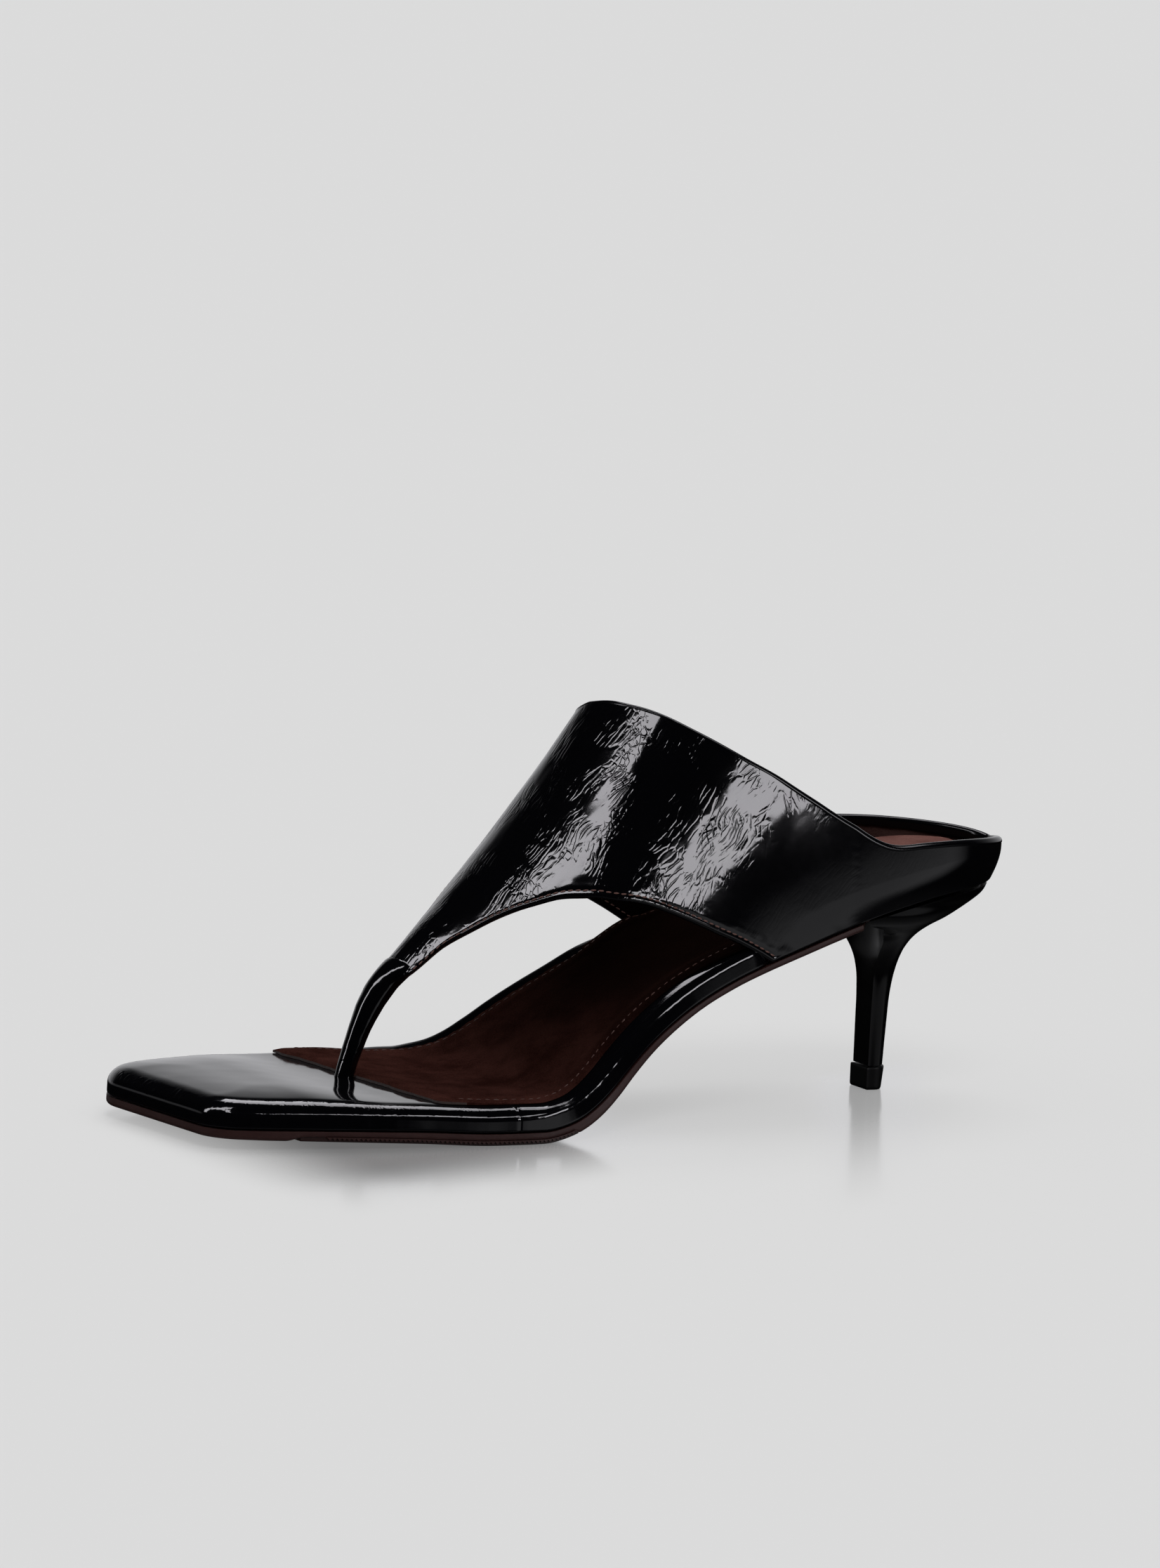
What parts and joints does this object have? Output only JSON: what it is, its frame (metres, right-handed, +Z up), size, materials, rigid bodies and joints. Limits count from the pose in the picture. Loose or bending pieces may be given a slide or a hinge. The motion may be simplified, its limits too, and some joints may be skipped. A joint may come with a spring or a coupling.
{
  "type": "kitten heel toe post sandal",
  "caption": "Square-toed mule sandal with a one-piece vamp narrowing to a toe post, low closed quarters, an arched sole and a slim kitten heel.",
  "frame": {"origin": "middle of the flat spot under the ball of the foot, on the ground", "axes": "+Z up from the ground, +Y from the toe towards the heel, +X towards the outer side of the left foot"},
  "size_m": [0.0822, 0.2304, 0.0988],
  "materials": {
    "patent": "black crinkled patent, high gloss",
    "suede": "dark brown microsuede, matt",
    "sole_resin": "dark brown resin rubber, satin",
    "heel_black": "black lacquer, semi-gloss",
    "lift_black": "black, satin"
  },
  "bodies": {
    "root": {"outsole": "sole_resin", "footbed": "patent", "sock": "suede", "upper": "patent", "toe_post": "patent", "heel": "heel_black", "top_lift": "lift_black"}
  },
  "joints": []
}
